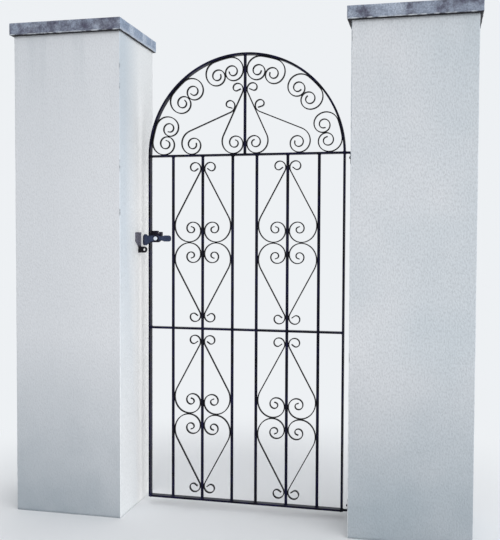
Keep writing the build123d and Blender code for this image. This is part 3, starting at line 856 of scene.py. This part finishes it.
def scrollTacks():
    # a tack weld is long beside the seam and low across it; one sits wherever a strip bulges
    # against its neighbour: on both sides of a panel scroll, on the rail and on the centre post
    v = tackValues
    beside = [v["out"], v["deep"], v["along"]]
    above = [v["along"], v["deep"], v["out"]]
    tacks = []
    for nodeName in sorted(nodes):
        low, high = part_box(nodeName)
        middle = (low.z + high.z) / 2
        if nodeName.startswith("scroll_"):
            inner = 1 if "_left_" in nodeName else -1
            tacks.append((reach(nodeName, 0, inner, middle), beside))
            tacks.append((reach(nodeName, 0, inner, high=middle), beside))
            tacks.append((reach(nodeName, 0, -inner), beside))
            if nodeName.endswith("_up"):
                tacks.append((reach(nodeName, 2, -1), above))
        elif nodeName.startswith("inner_scroll"):
            inner = 1 if nodeName.endswith("left") else -1
            tacks.append((reach(nodeName, 0, inner, middle), beside))
            tacks.append((reach(nodeName, 0, inner, high=middle), beside))
            tacks.append((reach(nodeName, 2, -1), above))
        elif nodeName.startswith("outer_scroll") or nodeName.startswith("c_low"):
            tacks.append((reach(nodeName, 2, -1), above))
        elif nodeName.startswith("c_top"):
            tacks.append((reach(nodeName, 0, 1 if nodeName.endswith("left") else -1), beside))
    centres = np.array([place for place, size in tacks])
    sizes = np.array([size for place, size in tacks])
    b = beadValues
    points, faces = beadSurfaces(centres, sizes, b["tackRows"], b["tackColumns"], b["tackSeed"])
    buildPiece("scrollTacks", points, faces, stripEnamel, "leaf")
    print("scroll tacks:", len(tacks))


seamValues = {
    "bars": 6,
    "pitch": 0.0028,
    "radius": 0.0024,
    "aroundPin": 0.0052,
    "outside": 0.0002,
    "inset": 0.001,
    "bracketInset": 0.004,
}


def seamBetween(start, end):
    # bead centres about a pitch apart on a straight line
    start = np.array(start)
    end = np.array(end)
    count = max(2, round(np.linalg.norm(end - start) / seamValues["pitch"]))
    share = (np.arange(count) + 0.5)[:, None] / count
    return start + share * (end - start)


def seamAround(x, y, z, up, radius):
    # ring of bead centres about an upright bar where up is 1, or about a pin along X where it is 0
    count = round(2 * np.pi * radius / seamValues["pitch"])
    angle = np.arange(count) * 2 * np.pi / count
    one = radius * np.cos(angle)
    two = radius * np.sin(angle)
    none = 0 * angle
    return np.stack([x + (one if up else none), y + (two if up else one), z + (none if up else two)], 1)


def frameSeams():
    # rows of overlapping beads along each corner of the frame that is welded
    leftLow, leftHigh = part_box("left_stile")
    rightLow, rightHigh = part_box("right_stile")
    springLow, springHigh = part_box("spring_rail")
    bottomLow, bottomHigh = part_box("bottom_rail")
    postLow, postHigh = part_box("crown_post")
    front = leftLow.y + seamValues["inset"]
    back = leftHigh.y - seamValues["inset"]
    postX = (postLow.x + postHigh.x) / 2
    postY = (postLow.y + postHigh.y) / 2
    around = (postHigh.x - postLow.x) / 2 + seamValues["outside"]
    seams = [seamAround(postX, postY, z, 1, around) for z in (springHigh.z, postHigh.z)]
    for railName in ("bottom_rail", "mid_rail", "spring_rail"):
        low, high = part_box(railName)
        for x in (leftHigh.x, rightLow.x):
            seams.append(seamBetween((x, front, high.z), (x, back, high.z)))
            seams.append(seamBetween((x, front, low.z), (x, back, low.z)))
    for number in range(1, seamValues["bars"] + 1):
        low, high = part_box("bar_" + str(number))
        x = (low.x + high.x) / 2
        y = (low.y + high.y) / 2
        seams.append(seamAround(x, y, springLow.z, 1, around))
        seams.append(seamAround(x, y, bottomHigh.z, 1, around))
    for low, high in ((springLow, springHigh), (bottomLow, bottomHigh)):
        seams.append(seamAround(rightHigh.x, postY, (low.z + high.z) / 2, 0, seamValues["aroundPin"]))
    low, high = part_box("latch_bracket")
    bracketFront = low.y + seamValues["bracketInset"]
    seams.append(seamBetween((leftHigh.x, bracketFront, low.z), (leftHigh.x, high.y, low.z)))
    centres = np.concatenate(seams)
    sizes = np.full((len(centres), 3), seamValues["radius"])
    b = beadValues
    points, faces = beadSurfaces(centres, sizes, b["seamRows"], b["seamColumns"], b["seamSeed"])
    buildPiece("frameSeams", points, faces, barEnamel, "leaf")
    print("frame seam beads:", len(centres))


scrollTacks()
frameSeams()


screwValues = {
    "radius": 0.0052,
    "rise": 0.0026,
    "fall": 0.75,
    "slot": 0.0011,
    "slotDeep": 0.45,
    "hub": 0.12,
    "turned": 0.35,
    "rows": 7,
    "columns": 24,
}


def screwHead(centre, direction):
    # dome: rise * (1 - fall * square of the distance from the middle in radii), lowered by
    # slotDeep rises in the slot, which runs straight across
    v = screwValues
    r = np.linspace(1, v["hub"], v["rows"])[:, None] * v["radius"]
    a = np.linspace(0, 2 * np.pi, v["columns"], endpoint=False)[None, :] + v["turned"]
    u = (r * np.cos(a)).ravel()
    w = (r * np.sin(a)).ravel()
    out = v["rise"] * (1 - (r / v["radius"]) ** 2 * v["fall"] + 0 * a).ravel()
    out = np.where(np.abs(w) < v["slot"], out - v["rise"] * v["slotDeep"], out)
    u = np.concatenate([v["radius"] * np.cos(a).ravel(), u])
    w = np.concatenate([v["radius"] * np.sin(a).ravel(), w])
    out = np.concatenate([np.zeros(v["columns"]), out])
    points = np.stack([centre[0] + direction * out, centre[1] + u, centre[2] + w], 1)
    faces = closedStack(v["rows"] + 1, v["columns"])
    if direction < 0:
        faces = [face[::-1] for face in faces]
    return points, faces


def screwSet(name, places, direction, material):
    # all the heads of one bracket in one mesh
    allPoints = []
    allFaces = []
    for i, place in enumerate(places):
        points, faces = screwHead(place, direction)
        allFaces += [[corner + i * len(points) for corner in face] for face in faces]
        allPoints.append(points)
    buildPiece(name, np.concatenate(allPoints), allFaces, material, "posts", smooth=False)


screwPlaces = {
    "plateThick": 0.005,
    "plateEnd": 0.013,
    "flangeThick": 0.004,
    "fromFront": 0.017,
    "fromTop": (0.014, 0.034),
}
for level in ("upper", "lower"):
    low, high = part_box("hinge_plate_" + level)
    x = high.x - screwPlaces["plateThick"]
    y = (low.y + high.y) / 2
    ends = (low.z + screwPlaces["plateEnd"], high.z - screwPlaces["plateEnd"])
    places = [(x, y, z) for z in ends]
    screwSet("hingePlateScrews_" + level, places, -1, zinc)
low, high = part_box("latch_keeper")
x = low.x + screwPlaces["flangeThick"]
y = low.y + screwPlaces["fromFront"]
places = [(x, y, high.z - down) for down in screwPlaces["fromTop"]]
screwSet("keeperScrews", places, 1, keeperPaint)


nutValues = {
    "across": 0.013,
    "thick": 0.0065,
    "washer": 0.0082,
    "washerThick": 0.0012,
    "chamfer": 0.0008,
    "chamferOver": 1.02,
    "thread": 0.0036,
    "threadOut": 0.003,
    "columns": 48,
}


def hexNut():
    # hexagon: radius = half the width across flats over the cosine of the angle from its nearest
    # flat, and on top no more than chamferOver times that half width
    v = nutValues
    low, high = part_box("pivot_bolt")
    x = (low.x + high.x) / 2
    z = (low.z + high.z) / 2
    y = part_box("latch_bracket")[1].y
    a = np.linspace(0, 2 * np.pi, v["columns"], endpoint=False)
    fold = (a + np.pi / 6) % (np.pi / 3) - np.pi / 6
    hexagon = v["across"] / 2 / np.cos(fold)
    chamfered = np.minimum(hexagon, v["across"] / 2 * v["chamferOver"])
    top = v["washerThick"] + v["thick"]
    rows = [
        (0.0, v["washer"] + 0 * a),
        (v["washerThick"], v["washer"] + 0 * a),
        (v["washerThick"], hexagon),
        (top - v["chamfer"], hexagon),
        (top, chamfered),
        (top, v["thread"] + 0 * a),
        (top + v["threadOut"], v["thread"] + 0 * a),
    ]
    rings = [np.stack([x + r * np.cos(a), y + out + 0 * a, z - r * np.sin(a)], 1) for out, r in rows]
    faces = closedStack(len(rows), v["columns"])
    buildPiece("pivotNut", np.concatenate(rings), faces, zinc, "leaf", smooth=False)


hexNut()
print("screws and nut made")


# studio: pale floor, pale surroundings that are brighter on the right, one broad soft lamp in front

studioValues = {
    "floor": "#e4e6e8",
    "floorHalf": 30.0,
    "backdrop": "#eef1f4",
    "light": "#f4f5f7",
    "floorRough": 0.9,
    "fill": 1.0,
    "brightSide": (1.0, 0.0, 0.0),
    "lean": 0.6,
    "lampWatts": 4600.0,
    "lampPlace": (24.0, -28.0, 13.0),
    "lampAim": (0.0, 0.0, 0.9),
    "lampSize": 28.0,
    "fadeStart": 0.7,
    "fadeEnd": 1.9,
}
floorMaterial, addFloor = newMaterial("studioFloor")
floorPaint = addFloor("BsdfPrincipled", {
    "Base Color": studioValues["floor"], "Roughness": studioValues["floorRough"]})
# away from the gate the floor fades into the pale surroundings, as a paper sweep does
floorPlace = addFloor("TexCoord").outputs["Object"]
far = addFloor("VectorMath", {0: floorPlace}, operation="LENGTH")
fade = addFloor("MapRange", {
    "Value": far, "From Min": studioValues["fadeStart"], "From Max": studioValues["fadeEnd"]},
    interpolation_type="SMOOTHSTEP")
floorRay = addFloor("LightPath")
eye = addFloor("Math", {
    0: floorRay.outputs["Is Camera Ray"], 1: floorRay.outputs["Is Glossy Ray"]}, operation="MAXIMUM")
fadeSeen = addFloor("Math", {0: fade, 1: eye}, operation="MULTIPLY")
haze = addFloor("Emission", {"Color": studioValues["backdrop"], "Strength": 1.0})
floorMix = addFloor("MixShader", {"Fac": fadeSeen, 1: floorPaint, 2: haze})
addFloor("OutputMaterial", {"Surface": floorMix})
floorMesh = bpy.data.meshes.new("studioFloor")
half = studioValues["floorHalf"]
corners = [(-half, -half, 0), (half, -half, 0), (half, half, 0), (-half, half, 0)]
floorMesh.from_pydata(corners, [], [(0, 1, 2, 3)])
floorMesh.materials.append(floorMaterial)
floor = bpy.data.objects.new("studioFloor", floorMesh)
bpy.context.scene.collection.objects.link(floor)

world = bpy.data.worlds.new("studioSurroundings")
bpy.context.scene.world = world
world.use_nodes = True
world.node_tree.nodes.clear()
addWorld = partial(addNode, world.node_tree)
seen = addWorld("LightPath")
# the surroundings light the object more from one side, as a lit wall of the studio does:
# strength = fill + fill * lean * (ray direction along the bright side)
rayPlace = addWorld("TexCoord").outputs["Generated"]
towards = addWorld("VectorMath", {0: rayPlace, 1: studioValues["brightSide"]}, operation="DOT_PRODUCT")
leaning = studioValues["fill"] * studioValues["lean"]
sideLight = addWorld("Math", {0: towards, 1: leaning, 2: studioValues["fill"]}, operation="MULTIPLY_ADD")
lit = addWorld("Background", {"Color": studioValues["light"], "Strength": sideLight})
shown = addWorld("Background", {"Color": studioValues["backdrop"], "Strength": 1.0})
either = addWorld("Math", {
    0: seen.outputs["Is Camera Ray"], 1: seen.outputs["Is Glossy Ray"]}, operation="MAXIMUM")
anyRay = addWorld("Math", {0: either, 1: seen.outputs["Is Transmission Ray"]}, operation="MAXIMUM")
mixed = addWorld("MixShader", {"Fac": anyRay, 1: lit, 2: shown})
addWorld("OutputWorld", {"Surface": mixed})

lampData = bpy.data.lights.new("broadLamp", "AREA")
lampData.shape = "SQUARE"
lampData.size = studioValues["lampSize"]
lampData.energy = studioValues["lampWatts"]
lamp = bpy.data.objects.new("broadLamp", lampData)
lamp.location = studioValues["lampPlace"]
lampAim = Vector(studioValues["lampAim"]) - Vector(studioValues["lampPlace"])
lamp.rotation_euler = lampAim.to_track_quat("-Z", "Y").to_euler()
lamp.visible_camera = False
bpy.context.scene.collection.objects.link(lamp)


# camera at the photograph's place, right of the middle and turned to the left, barely tilted down

cameraValues = {
    "place": (0.7484, -3.1220, 1.1059),
    "turn": 12.943,
    "tilt": -2.19,
    "roll": -0.2436,
    "lens": 53.33,
    "sensor": 36.0,
}
cameraData = bpy.data.cameras.new("gateCamera")
cameraData.lens = cameraValues["lens"]
cameraData.sensor_width = cameraValues["sensor"]
camera = bpy.data.objects.new("gateCamera", cameraData)
turned = Matrix.Rotation(math.radians(cameraValues["turn"]), 4, "Z")
tilted = Matrix.Rotation(math.radians(cameraValues["tilt"]), 4, "X")
rolled = Matrix.Rotation(math.radians(cameraValues["roll"]), 4, "Y")
upright = Matrix.Rotation(math.radians(90), 4, "X")
camera.matrix_world = Matrix.Translation(cameraValues["place"]) @ turned @ tilted @ rolled @ upright
bpy.context.scene.collection.objects.link(camera)
bpy.context.scene.camera = camera
bpy.context.scene.view_settings.view_transform = "Standard"

print("studio ready")
